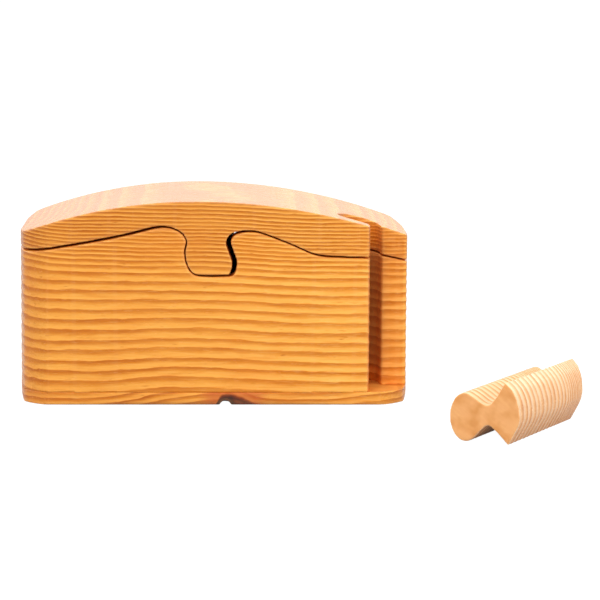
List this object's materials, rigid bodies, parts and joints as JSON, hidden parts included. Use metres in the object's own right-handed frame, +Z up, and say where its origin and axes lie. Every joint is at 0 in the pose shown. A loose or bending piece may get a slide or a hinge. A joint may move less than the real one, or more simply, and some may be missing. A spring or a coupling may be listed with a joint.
{
  "type": "wooden puzzle box",
  "caption": "Bandsawn wooden puzzle box with an arched lid that slides along a wavy tabbed seam, and a corner key that drops in to lock it.",
  "frame": {"origin": "on the table, at the middle of the underside of the box", "axes": "+X to the right along the box's width, +Y to the back along its depth, +Z up; the loose key lies in front of the box's right end"},
  "size_m": [0.2527, 0.1977, 0.093],
  "materials": {
    "base_slab_wood": "satin",
    "body_block_wood": "satin",
    "lid_wood": "satin",
    "key_wood": "satin"
  },
  "bodies": {
    "box": {"base_slab": "base_slab_wood", "body_block": "body_block_wood"},
    "lid": {"lid": "lid_wood"},
    "key": {"key": "key_wood"}
  },
  "joints": [
    {"name": "lid_slide", "type": "slide", "parent": "box", "child": "lid", "axis": [0.0262, 0.9997, 0], "range_m": [-0.1, 0.1]},
    {"name": "key_tip", "type": "hinge", "parent": "box", "child": "key", "pos_m": [0.1056, -0.1352, 0], "axis": [0.8678, -0.497, 0], "range_deg": [0, 90]}
  ]
}
